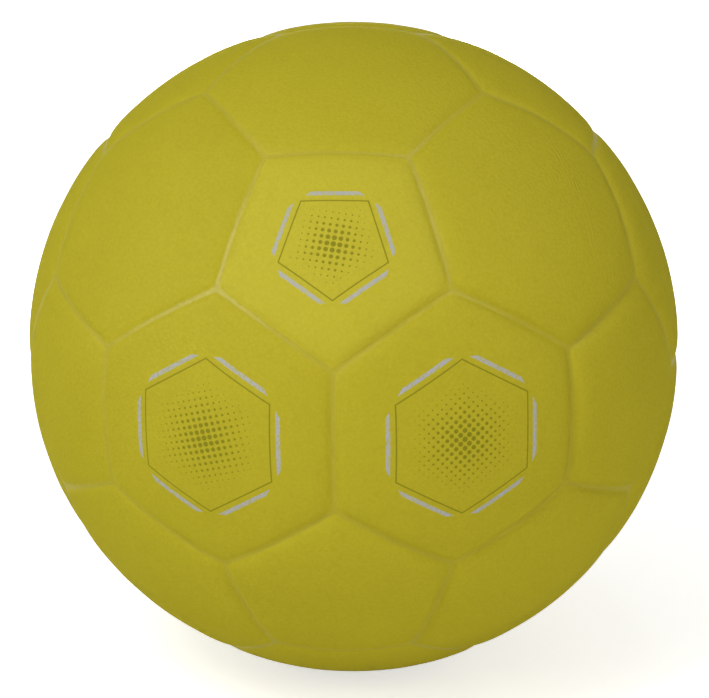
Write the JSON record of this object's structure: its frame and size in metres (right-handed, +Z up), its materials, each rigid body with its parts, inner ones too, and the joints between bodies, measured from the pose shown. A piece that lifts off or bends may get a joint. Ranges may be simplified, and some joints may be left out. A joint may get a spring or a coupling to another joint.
{
  "type": "handball",
  "caption": "Inflated handball with pentagon and hexagon cover panels in rolled-edge seams over a ribbed rubber carcass, thread winding and bladder with a needle valve.",
  "frame": {"origin": "centre of the ball", "axes": "+Z up and -Y to the front as in the picture; X, Y and Z each pass through the middle of a seam between two hexagon panels; the valve lies towards -X +Y +Z"},
  "size_m": [0.1874, 0.1874, 0.1874],
  "materials": {
    "cover": "satin",
    "seam_rubber": "satin",
    "winding_thread": "matte",
    "bladder_rubber": "satin",
    "valve_rubber": "satin"
  },
  "bodies": {
    "ball": {"bladder": "bladder_rubber", "valve_housing": "valve_rubber", "thread_winding": "winding_thread", "carcass": "seam_rubber", "pentagon_panel_01": "cover", "pentagon_panel_02": "cover", "pentagon_panel_03": "cover", "pentagon_panel_04": "cover", "pentagon_panel_05": "cover", "pentagon_panel_06": "cover", "pentagon_panel_07": "cover", "pentagon_panel_08": "cover", "pentagon_panel_09": "cover", "pentagon_panel_10": "cover", "pentagon_panel_11": "cover", "pentagon_panel_12": "cover", "hexagon_panel_01": "cover", "hexagon_panel_02": "cover", "hexagon_panel_03": "cover", "hexagon_panel_04": "cover", "hexagon_panel_05": "cover", "hexagon_panel_06": "cover", "hexagon_panel_07": "cover", "hexagon_panel_08": "cover", "hexagon_panel_09": "cover", "hexagon_panel_10": "cover", "hexagon_panel_11": "cover", "hexagon_panel_12": "cover", "hexagon_panel_13": "cover", "hexagon_panel_14": "cover", "hexagon_panel_15": "cover", "valve_panel": "cover", "hexagon_panel_17": "cover", "hexagon_panel_18": "cover", "hexagon_panel_19": "cover", "hexagon_panel_20": "cover"},
    "valve_core": {"valve_core": "valve_rubber"}
  },
  "joints": [
    {"name": "valve_core_pull", "type": "slide", "parent": "ball", "child": "valve_core", "axis": [-0.5774, 0.5774, 0.5774], "range_m": [0, 0.025]}
  ]
}
